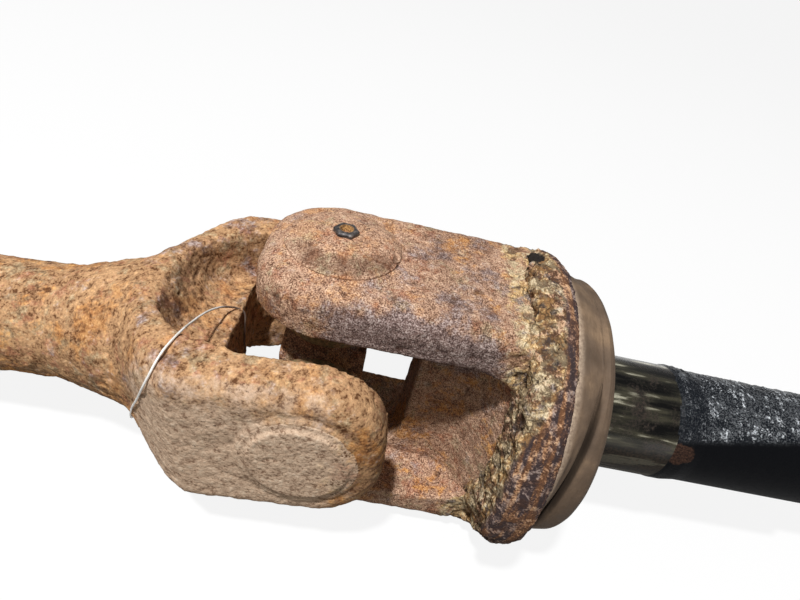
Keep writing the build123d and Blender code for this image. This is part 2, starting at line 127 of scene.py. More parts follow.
class AxleSealSettings(bpy.types.PropertyGroup):
    """Sizes and colours of the slinger, the seal and the shaft behind them."""

    flake: FloatProperty(
        name="Flake size", description="Width of the larger flakes of scale on the slinger",
        default=0.0045, min=0.002, max=0.02, unit="LENGTH")
    flake_height: FloatProperty(
        name="Flake height", description="Height of the flakes of scale on the slinger",
        default=0.0011, min=0.0, max=0.004, unit="LENGTH")
    rubber: FloatVectorProperty(
        name="Dusty rubber", description="Colour of the seal under its dust",
        default=srgb(106, 88, 72), min=0, max=1, size=3, subtype="COLOR")
    coating: FloatVectorProperty(
        name="Black coating", description="Colour of the wet black coat on the stub shaft",
        default=srgb(12, 13, 16), min=0, max=1, size=3, subtype="COLOR")
    wire: FloatProperty(
        name="Tie wire", description="Diameter of the wire round the inner yoke",
        default=0.0008, min=0.0003, max=0.003, unit="LENGTH")


class AxleStageSettings(bpy.types.PropertyGroup):
    """Light and floor."""

    key: FloatProperty(
        name="Key light", description="Power of the lamp above", default=21.4, min=0.0, unit="POWER")
    floor: FloatVectorProperty(
        name="Floor", description="Colour of the floor", default=(0.9, 0.9, 0.9),
        min=0, max=1, size=3, subtype="COLOR")


def cup_bore(around, along):
    """1 in an ear's bore, where the cup sits, by the distances from and along the cup's axis."""
    return 1 - smooth(around, CUP_BORE_RADIUS, CUP_BORE_RADIUS + 1.0) if abs(along) > EAR_START else 0.0


def angle_from(place, middle):
    """Degrees round the shaft from an angle, which is 0 on the far side and 90 at the top."""
    return abs((degrees(atan2(place.z, place.y)) - middle + 180) % 360 - 180)


def from_top(place):
    """Degrees round the shaft from its top."""
    return angle_from(place, 90.0)


def cad_copy(node):
    """Merged copy of a CAD node's loose triangles."""
    work = bmesh.new()
    work.from_mesh(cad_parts[node].data)
    bmesh.ops.remove_doubles(work, verts=work.verts, dist=MERGE_DISTANCE * MM)
    return work


def linked(name, data):
    """Object in the scene with the mesh, curve, lamp or lens given."""
    thing = bpy.data.objects.new(name, data)
    bpy.context.scene.collection.objects.link(thing)
    return thing


def new_piece(name, work):
    """Object at the origin with the finished mesh."""
    mesh = bpy.data.meshes.new(name)
    work.to_mesh(mesh)
    work.free()
    return linked(name, mesh)


def worked_out(source):
    """Mesh of an object with its modifiers or bevel applied. The object is removed."""
    graph = bpy.context.evaluated_depsgraph_get()
    mesh = bpy.data.meshes.new_from_object(source.evaluated_get(graph))
    bpy.data.objects.remove(source)
    return mesh


def remeshed(work, voxel):
    """The closed shells of a mesh as one even skin of small squares."""
    piece = new_piece("remesh", work)
    modifier = piece.modifiers.new("even skin", "REMESH")
    modifier.mode = "VOXEL"
    modifier.voxel_size = voxel
    modifier.adaptivity = 0.0
    rough = piece.data
    mesh = worked_out(piece)
    even = bmesh.new()
    even.from_mesh(mesh)
    bpy.data.meshes.remove(rough)
    bpy.data.meshes.remove(mesh)
    return even


def cut(work, place, normal):
    """Keep what lies on the far side of a plane from its normal."""
    everything = work.verts[:] + work.edges[:] + work.faces[:]
    bmesh.ops.bisect_plane(
        work, geom=everything, plane_co=place, plane_no=normal, clear_outer=True)


def spun(profile, steps, divide, turn=None, closed=True):
    """Spin (x, radius) points in millimetres round X, with the profile divided evenly."""
    work = bmesh.new()
    corners = [Vector((x * MM, 0, radius * MM)) for x, radius in profile]
    if closed:
        corners.append(corners[0])
    line = []
    for first, second in zip(corners, corners[1:]):
        parts = 1 + int((second - first).length / (divide * MM))
        line += [work.verts.new(first.lerp(second, part / parts)) for part in range(parts)]
    line.append(line[0] if closed else work.verts.new(corners[-1]))
    for first, second in zip(line, line[1:]):
        work.edges.new((first, second))
    bmesh.ops.spin(
        work, geom=work.verts[:] + work.edges[:], cent=(0, 0, 0), axis=(1, 0, 0),
        dvec=(0, 0, 0), angle=FULL_TURN, steps=steps, use_merge=True, use_duplicate=False)
    bmesh.ops.remove_doubles(work, verts=work.verts, dist=0.1 * MERGE_DISTANCE * MM)
    if turn is not None:
        bmesh.ops.transform(work, matrix=turn, verts=work.verts)
    bmesh.ops.recalc_face_normals(work, faces=work.faces)
    return work


def joined(first, second):
    """Add the second mesh to the first."""
    mesh = bpy.data.meshes.new("join")
    second.to_mesh(mesh)
    second.free()
    first.from_mesh(mesh)
    bpy.data.meshes.remove(mesh)
    return first


def bridged(work):
    """Close each pair of open rims that face each other along the shaft."""
    rims = []
    loose = {edge: True for edge in work.edges if edge.is_boundary}
    while loose:
        rim = [loose.popitem()[0]]
        for edge in rim:
            for vert in edge.verts:
                rim += [other for other in vert.link_edges if loose.pop(other, False)]
        rims.append(rim)
    rims.sort(key=lambda rim: sum(edge.verts[0].co.x for edge in rim) / len(rim))
    for first, second in zip(rims[::2], rims[1::2]):
        bmesh.ops.bridge_loops(work, edges=first + second)
    bmesh.ops.recalc_face_normals(work, faces=work.faces)


def shaped(piece, height):
    """Raise every point along its normal by height(place, normal) in millimetres, and keep the height."""
    mesh = piece.data
    normals = [entry.vector.copy() for entry in mesh.vertex_normals]
    heights = []
    for vertex, normal in zip(mesh.vertices, normals):
        raised = height(vertex.co / MM, normal)
        heights.append(raised)
        vertex.co += normal * (raised * MM)
    depth = mesh.attributes.new("rust_depth", "FLOAT", "POINT")
    depth.data.foreach_set("value", [0.5 + value for value in heights])
    mesh.shade_smooth()
    mesh.update()
    return piece


def painted(piece, **values):
    """Store each value(place, normal) at every point, under the name that the finish reads."""
    mesh = piece.data
    for name, value in values.items():
        layer = mesh.attributes.new(name, "FLOAT", "POINT")
        layer.data.foreach_set("value", [
            value(vertex.co / MM, entry.vector)
            for vertex, entry in zip(mesh.vertices, mesh.vertex_normals)
        ])


def everywhere(value):
    """The same value at every point, to paint a piece with."""
    return lambda place, normal: value


def dressed(piece, body, slot, *finishes):
    """Give a piece its materials and its body; the slot is not used."""
    for finish in finishes:
        piece.data.materials.append(finish)
    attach(piece, body)
    return piece


class Finish:
    """A procedural material on object coordinates, with wavelengths given in millimetres."""

    def __init__(self, name):
        self.material = bpy.data.materials.new(name)
        self.material.use_nodes = True
        self.nodes = self.material.node_tree.nodes
        self.links = self.material.node_tree.links
        self.shader = self.nodes["Principled BSDF"]
        self.place = self.nodes.new("ShaderNodeTexCoord").outputs["Object"]

    def feed(self, socket, value):
        """Link an output, or set a plain value."""
        if isinstance(value, bpy.types.NodeSocket):
            self.links.new(value, socket)
        elif isinstance(value, tuple) and len(value) == 3 and socket.type == "RGBA":
            socket.default_value = (*value, 1.0)
        else:
            socket.default_value = value

    def node(self, kind, inputs, **settings):
        """A new node with its settings made first and its inputs fed by name or number."""
        node = self.nodes.new("ShaderNode" + kind)
        for name, value in settings.items():
            setattr(node, name, value)
        for socket, value in inputs.items():
            self.feed(node.inputs[socket], value)
        return node

    def stretched(self, scale):
        """Coordinates stretched for a pattern with a direction."""
        return self.node("Mapping", {"Vector": self.place, "Scale": scale}).outputs["Vector"]

    def along(self, axis):
        """Place along one axis, in metres."""
        return self.node("SeparateXYZ", {0: self.place}).outputs[axis]

    def noise(self, wavelength, detail=4.0, roughness=0.6, seed=0.0, place=None, distortion=0.0):
        """Soft noise of a wavelength."""
        return self.node("TexNoise", {
            "Vector": place or self.place, "W": seed, "Scale": 1 / (wavelength * MM), "Detail": detail,
            "Roughness": roughness, "Distortion": distortion}, noise_dimensions="4D").outputs["Fac"]

    def warped(self, wavelength, reach, seed):
        """Coordinates pushed about by soft noise, up to a reach in millimetres."""
        soft = self.node(
            "TexNoise", {"Vector": self.place, "W": seed, "Scale": 1 / (wavelength * MM)},
            noise_dimensions="4D")
        push = (reach * MM, reach * MM, reach * MM)
        inputs = {0: soft.outputs["Color"], 1: push, 2: self.place}
        return self.node("VectorMath", inputs, operation="MULTIPLY_ADD").outputs[0]

    def cells(self, size, feature="F1", seed=0.0, place=None):
        """Distance inside voronoi cells of a size, from their middles or from their edges."""
        inputs = {"Vector": place or self.place, "W": seed, "Scale": 1 / (size * MM)}
        return self.node("TexVoronoi", inputs, voronoi_dimensions="4D", feature=feature).outputs["Distance"]

    def attribute(self, name):
        """A value stored at the points of the mesh."""
        return self.node("Attribute", {}, attribute_name=name).outputs["Fac"]

    def level(self, value, low, high, out_low=0.0, out_high=1.0):
        """Smooth step of a value between two levels."""
        inputs = {
            "Value": value, "From Min": low, "From Max": high, "To Min": out_low, "To Max": out_high}
        return self.node("MapRange", inputs, interpolation_type="SMOOTHSTEP").outputs["Result"]

    def times(self, first, second):
        """Product of two values."""
        return self.node("Math", {0: first, 1: second}, operation="MULTIPLY").outputs[0]

    def plus(self, first, second, share=1.0):
        """The first value plus a share of the second."""
        part = second if share == 1.0 else self.times(second, share)
        return self.node("Math", {0: first, 1: part}, operation="ADD").outputs[0]

    def highest(self, first, second):
        """The larger of two values."""
        return self.node("Math", {0: first, 1: second}, operation="MAXIMUM").outputs[0]

    def blend(self, share, first, second):
        """Value between two values."""
        return self.node("Mix", {0: share, 2: first, 3: second}).outputs[0]

    def ramp(self, value, *stops):
        """Colour ramp with (position, colour) stops."""
        node = self.node("ValToRGB", {"Fac": value})
        elements = node.color_ramp.elements
        while len(elements) < len(stops):
            elements.new(0.5)
        for element, (position, colour) in zip(elements, stops):
            element.position = position
            element.color = (*colour, 1.0)
        return node.outputs["Color"]

    def shades(self, value, spread, *colours):
        """Ramp of evenly spaced screen colours over a value that varies round one half."""
        step = 2 * spread / (len(colours) - 1)
        return self.ramp(value, *(
            (0.5 - spread + step * place, srgb(*colour)) for place, colour in enumerate(colours)))

    def mix(self, share, first, second):
        """Colour between two colours."""
        return self.node("Mix", {0: share, 6: first, 7: second}, data_type="RGBA").outputs[2]

    def ball(self, centre, radius, soft):
        """1 near a point given in millimetres, 0 beyond a radius."""
        middle = tuple(value * MM for value in centre)
        away = self.node("VectorMath", {0: self.place, 1: middle}, operation="DISTANCE").outputs["Value"]
        return self.level(away, radius * MM * (1 - soft), radius * MM, 1.0, 0.0)

    def bump(self, height, distance):
        """Fine relief, with its depth in millimetres."""
        node = self.node("Bump", {"Height": height, "Distance": distance * MM, "Strength": 1.0})
        self.links.new(node.outputs["Normal"], self.shader.inputs["Normal"])

    def set(self, **values):
        """Set or link shader inputs, with underscores for spaces in their names."""
        for name, value in values.items():
            self.feed(self.shader.inputs[name.replace("_", " ")], value)
        return self.material


def flake_colours(finish, tone):
    """Plates of yellow, cream and slate scale between brown ones, with dark cracks."""
    patches = finish.noise(9, 5, 0.72, 111.0, distortion=0.3)
    second = finish.noise(6, 5, 0.72, 113.0)
    third = finish.noise(5, 5, 0.72, 117.0)
    brown = finish.shades(tone, 0.1, (92, 66, 50), (170, 130, 102), (222, 184, 150))
    yellow = finish.shades(tone, 0.1, (152, 114, 74), (212, 176, 122), (244, 220, 174))
    cream = finish.shades(tone, 0.1, (140, 124, 98), (206, 187, 150), (236, 221, 190))
    slate = finish.shades(tone, 0.1, (70, 62, 60), (134, 122, 116), (184, 172, 166))
    colour = finish.mix(finish.level(patches, 0.44, 0.55), brown, yellow)
    colour = finish.mix(finish.level(second, 0.46, 0.57, 0, 0.8), colour, cream)
    colour = finish.mix(finish.level(third, 0.53, 0.62, 0, 0.85), colour, slate)
    cracks = finish.cells(4.6, "DISTANCE_TO_EDGE", 119.0, finish.warped(6.0, 5.0, 121.0))
    cracked = finish.level(cracks, 0.0, 0.08, 0.8, 0.0)
    cracked = finish.times(cracked, finish.level(patches, 0.4, 0.6))
    return finish.mix(cracked, colour, srgb(56, 42, 32))


def rust_finish(
        name, dark, main, light, seed, dusty=None, grain=0.5, coarse=0.3, spread=0.085, depth=0.7):
    """Old rust: grains, blotches, orange, olive and violet patches, dark pits, dust where painted, dark
    dirt mixed with painted shade where painted, and painted shade in the deepest hollows of the relief.
    """
    finish = Finish(name)
    patches = finish.noise(17, 5, 0.66, seed)
    blotches = finish.noise(7, 5, 0.7, seed + 3)
    mottle = finish.noise(2.6, 4, 0.7, seed + 5)
    grains = finish.noise(grain, 2, 0.6, seed + 7)
    crumbs = finish.level(finish.cells(1.5, seed=seed), 0.1, 0.85, 0.62, 0.38)
    tone = finish.times(grains, 0.85 - coarse)
    tone = finish.plus(finish.plus(tone, mottle, coarse), crumbs, 0.15)
    low = 0.5 - spread
    high = 0.5 + spread
    base = finish.ramp(tone, (low, dark), (0.49, main), (0.51, main), (high, light))
    orange = finish.shades(tone, spread, (116, 70, 36), (188, 130, 76), (230, 178, 116))
    violet = finish.shades(tone, spread, (64, 50, 50), (122, 102, 98), (192, 176, 172))
    red = finish.shades(tone, spread, (84, 50, 36), (152, 98, 72), (204, 150, 116))
    olive = finish.shades(tone, spread, (88, 74, 56), (150, 130, 100), (210, 192, 158))
    small = finish.times(mottle, 0.45)
    clouds = finish.noise(8, 5, 0.7, seed + 13)
    olive_share = finish.level(finish.plus(clouds, small), 0.74, 0.86, 0, 0.7)
    orange_share = finish.level(finish.plus(patches, small), 0.73, 0.84)
    orange_share = finish.times(orange_share, finish.attribute("orange"))
    streaks = finish.plus(finish.noise(12, 5, 0.7, seed + 11), small)
    violet_share = finish.level(finish.plus(streaks, finish.attribute("violet")), 0.76, 0.96, 0, 0.9)
    red_share = finish.level(finish.plus(blotches, small), 0.74, 0.85, 0, 0.8)
    colour = finish.mix(olive_share, base, olive)
    colour = finish.mix(red_share, colour, red)
    colour = finish.mix(orange_share, colour, orange)
    colour = finish.mix(violet_share, colour, violet)
    if dusty:
        dust = finish.ramp(
            tone, (low, srgb(146, 116, 94)), (0.49, dusty), (0.52, dusty), (high, srgb(232, 208, 182)))
        covered = finish.plus(finish.attribute("dust"), blotches, 1.4)
        colour = finish.mix(finish.level(covered, 1.02, 1.5, 0, 0.95), colour, dust)
    flakes = finish.plus(finish.attribute("flakes"), mottle, 1.4)
    colour = finish.mix(finish.level(flakes, 0.95, 1.35), colour, flake_colours(finish, tone))
    # Dark dirt patches, and painted shade on the inner yoke's dish wall, mixed towards dark brown.
    soil = finish.plus(finish.attribute("soil"), blotches, 0.9)
    colour = finish.mix(finish.level(soil, 0.55, 1.3, 0, 0.8), colour, srgb(64, 44, 32))
    pits = finish.level(finish.noise(1.7, 4, 0.7, seed + 19), 0.30, 0.38, 0.7, 0.0)
    colour = finish.mix(pits, colour, srgb(62, 40, 30))
    # Painted shade: points sunk deepest in the relief, by rust_depth, are darkened towards dark brown.
    hollow = finish.level(finish.attribute("rust_depth"), -0.15, 0.3, 0.65, 0.0)
    colour = finish.mix(hollow, colour, srgb(70, 44, 30))
    relief = finish.plus(finish.times(grains, 0.35), mottle, 0.7)
    finish.bump(finish.plus(relief, crumbs), depth)
    return finish.set(
        Base_Color=colour, Roughness=finish.level(mottle, 0.3, 0.7, 0.8, 0.95), Specular_IOR_Level=0.2)


def forging_height(place, seed, height, lumpy=1.0):
    """Lumps, grains and pits of an old forging, in millimetres."""
    moved = place + Vector((seed, -seed, 0.5 * seed))
    swell = noise.fractal(moved / 15.0, 1.0, 2.0, 3)
    lumps = noise.fractal(moved / 4.0, 0.8, 2.1, 3)
    pits = smooth(noise.noise(moved / 3.4), 0.34, 0.62)
    return height * (swell + 0.8 * lumpy * lumps - 1.2 * pits)


def flake_relief(place, flake):
    """Stepped plates, cracks and crumbs of flaking scale."""
    bent = place / flake + 0.5 * noise.noise_vector(place / 5.0)
    level = 3.5 * noise.fractal(bent, 0.9, 2.2, 3)
    terrace = (level // 1 + smooth(level % 1, 0.0, 0.3)) / 3.5
    crack = 1 - smooth(abs(noise.noise(bent * 1.5)), 0.01, 0.09)
    crumbs = noise.fractal(place / 1.7, 0.8, 2.1, 3)
    lumps = noise.fractal(place / 9.0, 1.0, 2.0, 3)
    return 1.2 * terrace + 0.4 * crumbs + 0.3 * lumps - 0.5 * crack


class PieceOperator(bpy.types.Operator):
    """Shared settings of the operators below."""

    bl_options = {"REGISTER", "UNDO"}

    @property
    def rust(self):
        return bpy.context.scene.axle_rust

    @property
    def seal(self):
        return bpy.context.scene.axle_seal


class AXLE_OT_inner_shaft(PieceOperator):
    """Rusted forging of the inner yoke and bar, with its bare seal journal and splines."""

    bl_idname = "axle.inner_shaft"
    bl_label = "Inner shaft"

    BAR_STEPS = 110
    BAR_DIVIDE = 1.3
    WEAR_PASSES = 60
    HOLLOW_START = -82.0
    HOLLOW_END = -38.0
    HOLLOW_HALF_WIDTH = 33.0
    HOLLOW_FLOOR = 7.0

    def execute(self, context):
        yoke = remeshed(cad_copy("inner_shaft"), self.rust.detail)
        cut(yoke, INNER_AXIS * NECK_CUT * MM, INNER_AXIS)
        self.soften(yoke)
        end = cad_copy("inner_shaft")
        cut(end, INNER_AXIS * INNER_JOURNAL_CUT * MM, -INNER_AXIS)
        line = [(-NECK_CUT - 1, INNER_BAR_RADIUS), (-INNER_BAR_END, INNER_BAR_RADIUS)]
        turn = Matrix.Rotation(BEND, 4, "Y")
        bar = spun(line, self.BAR_STEPS, self.BAR_DIVIDE, turn=turn, closed=False)
        work = joined(joined(yoke, bar), end)
        bridged(work)
        piece = new_piece("rusted_inner_shaft", work)
        self.shape(piece)
        finishes = (
            rust_finish(
                "inner_forging_rust", srgb(96, 60, 34), tuple(self.rust.ochre), srgb(228, 182, 134),
                1.0, tuple(self.rust.dusty), grain=0.8, coarse=0.58, spread=0.1, depth=0.5),
            machined_finish("inner_journal_steel", 31.0),
        )
        for face in piece.data.polygons:
            face.material_index = int(INNER_AXIS.dot(face.center) > (INNER_BAR_END + 0.5) * MM)
        dressed(piece, "inner", "rusty_forging", *finishes)
        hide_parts("inner_shaft")
        return {"FINISHED"}

    def soften(self, work):
        """Wear the lips of the two hollows round."""
        lips = [
            vert for vert in work.verts
            if self.HOLLOW_START * MM < vert.co.x < self.HOLLOW_END * MM
            and abs(vert.co.y) < self.HOLLOW_HALF_WIDTH * MM and abs(vert.co.z) > self.HOLLOW_FLOOR * MM
        ]
        for _ in range(self.WEAR_PASSES):
            bmesh.ops.smooth_vert(
                work, verts=lips, factor=0.5, use_axis_x=True, use_axis_y=True, use_axis_z=True)

    def shape(self, piece):
        height = self.rust.height / MM

        def rust_height(place, normal):
            along = INNER_AXIS.dot(place)
            bare = smooth(along, INNER_BAR_END - 4, INNER_BAR_END + 1)
            bore = cup_bore(hypot(place.x, place.z), place.y)
            scab = smooth(noise.noise(place / 7.0 + Vector((9, 0, 0))), 0.08, 0.16)
            lumps = forging_height(place, FORGING_SEEDS["inner"], height, 1.3) + 0.22 * scab
            lumps *= 1 - 0.4 * smooth(-normal.y, 0.5, 0.9) * smooth(-place.y, 30, 40)
            return lumps * (1 - bare) * (1 - bore)

        def dust(place, normal):
            near_face = smooth(-normal.y, 0.1, 0.7) * smooth(-place.y, 20, 36) * smooth(place.x, -70, -50)
            return near_face * (1 - 0.7 * smooth(place.x, 0, 20)) * (1 - 0.45 * smooth(place.z, 4, 24))

        def violet(place, normal):
            hollow = band(place.x, -72, -52, -36, -26) * smooth(place.z, 8, 24)
            return 0.06 * hollow - 0.05 * smooth(-place.x, 90, 120)

        def orange(place, normal):
            return 0.55 + 0.45 * max(smooth(-place.x, 60, 110), smooth(place.x, 2, 22))

        def soil(place, normal):
            # Painted shade: the left wall of the dish, facing away from the lamp, is masked in for
            # darkening; the patches at the near tip are dark dirt.
            dish_wall_shade = band(place.x, -66, -62, -52, -46) * band(place.z, 4, 10, 24, 31)
            tip = 0.3 * smooth(place.x, 4, 22) * smooth(-place.y, 26, 36)
            return max(tip, 0.45 * dish_wall_shade * smooth(normal.x, 0.5, 0.8))

        shaped(piece, rust_height)
        painted(piece, dust=dust, soil=soil, violet=violet, orange=orange)


class AXLE_OT_stub_shaft(PieceOperator):
    """Rusted yoke and base of the stub shaft, its bearing journal, black coated stem and splines."""

    bl_idname = "axle.stub_shaft"
    bl_label = "Stub shaft"

    PROFILE = [
        (74.6, 34.0), (77.5, 34.0), (77.6, 29.0), (93.0, 29.0), (96.0, 23.05), (143.0, 23.05),
        (149.0, 22.2), (210.0, 22.2), (211.0, 21.4),
    ]
    STEPS = 170
    DIVIDE = 0.75
    COARSER = 1.08
    COAT_START = 137.0
    COAT_THICKNESS = 0.3

    def execute(self, context):
        yoke = remeshed(cad_copy("stub_shaft"), self.COARSER * self.rust.detail)
        cut(yoke, Vector((BASE_CUT * MM, 0, 0)), Vector((1, 0, 0)))
        end = cad_copy("stub_shaft")
        cut(end, Vector((STEM_CUT * MM, 0, 0)), Vector((-1, 0, 0)))
        turned = spun(self.PROFILE, self.STEPS, self.DIVIDE, closed=False)
        work = joined(joined(yoke, turned), end)
        bridged(work)
        piece = new_piece("rusted_stub_shaft", work)
        self.shape(piece)
        finishes = (
            rust_finish(
                "stub_forging_rust", srgb(92, 62, 46), tuple(self.rust.sandy), srgb(230, 196, 168), 41.0),
            journal_finish(),
            coating_finish(tuple(self.seal.coating)),
            machined_finish("stub_spline_steel", 57.0),
        )
        for face in piece.data.polygons:
            position = face.center.x / MM
            starts = (BASE_CUT, self.coat_edge(face.center / MM), STEM_CUT)
            face.material_index = sum(position > start for start in starts)
        dressed(piece, "stub", "stub_forging", *finishes)
        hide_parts("stub_shaft")
        return {"FINISHED"}

    def around(self, place):
        """Angle round the shaft from its near side, in radians."""
        return atan2(place.z, -place.y)

    def coat_edge(self, place):
        """Wavy edge where the black coat starts."""
        return self.COAT_START + 1.4 * noise.noise(Vector((0.7 * self.around(place), 0, 4.0)))

    def rippled(self, place, _normal=None):
        """1 on the upper half of the stem, 0 below the slanting line where its ripples stop."""
        around = self.around(place)
        line = 0.42 + 0.0078 * (place.x - self.COAT_START)
        return band(around, line, line + 0.12, 2.8, 3.1)

    def coat_height(self, place):
        """Wet black coat, rippled round the upper half of the stem and smooth below."""
        edge = self.coat_edge(place)
        if place.x < edge or place.x > STEM_CUT - 2:
            return 0.0
        around = self.around(place)
        slant = place.x - 4.0 * around + 1.5 * noise.noise(place / 9.0)
        ridge = 1 - abs(noise.noise(Vector((slant / 1.7, around * 1.2, 0)))) * 3.0
        broken = smooth(noise.noise(place / 3.0), -0.45, 0.25)
        ripples = 0.42 * max(ridge, 0.0) * broken + 0.3 * noise.noise(place)
        starting = smooth(place.x, edge, edge + 1.5)
        return (self.COAT_THICKNESS + self.rippled(place) * ripples) * starting

    def shape(self, piece):
        height = self.rust.height / MM
        flake_height = self.seal.flake_height / MM

        def rust_height(place, normal):
            if place.x > BASE_CUT:
                return self.coat_height(place)
            bore = cup_bore(hypot(place.x, place.y), place.z)
            if bore == 1:
                return 0.0
            raised = forging_height(place, FORGING_SEEDS["stub"], height) * (1 - bore)
            flaking = flakes(place, normal)
            if flaking:
                raised += 0.7 * flaking * flake_height * flake_relief(place, self.seal.flake / MM)
            ground = smooth(place.x, 69, 72)
            return raised * (1 - ground)

        def flakes(place, normal):
            outside = max(smooth(abs(place.z), 34, 40), smooth(place.y * normal.y, 22, 30))
            return outside * smooth(place.x + 3.0 * noise.noise(place / 8.0), 53, 64)

        def violet(place, normal):
            side = smooth(place.z, 12, 28) * (1 - 0.8 * smooth(place.z, 45, 53))
            return 0.33 * side * band(place.x, -24, 26, 50, 62) - 0.02 * smooth(-place.x, -5, 15)

        def orange(place, normal):
            return 0.5 + 0.5 * smooth(place.x, 20, 45)

        def soil(place, normal):
            flank = 0.28 * smooth(-normal.y, 0.2, 0.8) * smooth(place.z, 20, 34)
            top = 0.32 * smooth(place.z, 44, 52) * smooth(place.x, 12, 36)
            return max(flank, top) * (1 - smooth(place.x, 54, 64))

        shaped(piece, rust_height)
        painted(piece, flakes=flakes, soil=soil, violet=violet, orange=orange, rippled=self.rippled)


def machined_finish(name, seed):
    """Machined steel gone brown, with fine turning marks and thin rust."""
    finish = Finish(name)
    stains = finish.noise(9, 5, 0.65, seed)
    turning = finish.noise(1.2, 2, 0.5, seed + 2, place=finish.stretched((5.0, 1.0, 1.0)))
    specks = finish.noise(1.1, 3, 0.7, seed + 5)
    steel = finish.shades(turning, 0.2, (92, 84, 76), (140, 130, 118))
    thin_rust = finish.shades(specks, 0.14, (84, 54, 34), (158, 110, 72))
    share = finish.level(finish.plus(stains, specks, 0.5), 0.62, 0.9)
    finish.bump(finish.plus(turning, specks), 0.12)
    return finish.set(
        Base_Color=finish.mix(share, steel, thin_rust), Metallic=finish.level(share, 0, 1, 0.8, 0.1),
        Roughness=finish.level(share, 0, 1, 0.42, 0.85))


def journal_finish():
    """Ground bearing journal under a dark film of oil, with painted highlight streaks along it, darker,
    browner and duller towards the bottom.
    """
    finish = Finish("oiled_journal_steel")
    highlight_bands = finish.noise(6, 4, 0.6, 71.0, place=finish.stretched((0.12, 1.0, 1.0)))
    film = finish.noise(11, 5, 0.6, 73.0)
    grit = finish.noise(1.0, 3, 0.7, 75.0)
    # Painted highlight: the light top of this ramp, on streaks stretched along the shaft, stands in for
    # reflections of light.
    steel = finish.ramp(
        highlight_bands, (0.41, srgb(14, 13, 12)), (0.48, srgb(52, 50, 42)), (0.55, srgb(88, 84, 68)),
        (0.59, srgb(216, 211, 186)))
    oil = finish.ramp(grit, (0.4, srgb(18, 16, 14)), (0.62, srgb(56, 46, 38)))
    share = finish.level(finish.plus(film, grit, 0.3), 0.60, 0.8)
    # Darker, browner and duller towards the bottom of the journal.
    below = finish.level(finish.along("Z"), 1 * MM, 9 * MM, 0.9, 0.0)
    share = finish.highest(share, below)
    finish.bump(finish.plus(highlight_bands, grit), 0.05)
    return finish.set(
        Base_Color=finish.mix(share, steel, oil),
        Metallic=finish.level(share, 0, 1, 0.7, 0.15),
        Roughness=finish.blend(below, finish.level(grit, 0.35, 0.7, 0.18, 0.4), 0.75),
        Specular_IOR_Level=finish.level(below, 0, 1, 0.5, 0.1),
        Coat_Weight=finish.level(below, 0, 1, 0.25, 0.0),
        Coat_Roughness=0.1)


def coating_finish(black):
    """Glossy black coat with painted glints, bright specks on its ripple crests, and a dull chip of rust at
    its start.
    """
    finish = Finish("wet_black_coat")
    flecks = finish.noise(0.55, 3, 0.7, 81.0)
    clouds = finish.noise(6, 4, 0.6, 83.0)
    chip = finish.ball((140.0, -21.5, 6.4), 8.5, 0.9)
    chip = finish.level(finish.plus(chip, clouds, 1.6), 1.18, 1.36, 0, 0.7)
    rust = finish.ramp(flecks, (0.40, srgb(46, 34, 29)), (0.5, srgb(70, 51, 43)), (0.62, srgb(98, 72, 58)))
    above = finish.attribute("rippled")
    # Painted highlight: near-white specks on the ripple crests of the upper half, from about 144 mm on,
    # stand in for glints of light.
    crest = finish.level(finish.attribute("rust_depth"), 0.88, 1.25, 0.12, 1.0)
    glint_specks = finish.level(finish.plus(flecks, clouds, 0.3), 0.62, 0.73)
    further = finish.level(finish.along("X"), 144 * MM, 152 * MM, 0.25, 1.0)
    grey = finish.times(finish.times(crest, glint_specks), above)
    grey = finish.times(grey, further)
    colour = finish.mix(grey, finish.mix(above, black, srgb(15, 19, 25)), srgb(226, 231, 236))
    finish.bump(flecks, 0.35)
    rough = finish.blend(above, 0.6, finish.level(flecks, 0.4, 0.62, 0.12, 0.3))
    return finish.set(
        Base_Color=finish.mix(chip, colour, rust),
        Roughness=finish.blend(chip, rough, 0.8),
        Specular_IOR_Level=finish.blend(above, 0.04, 0.16))


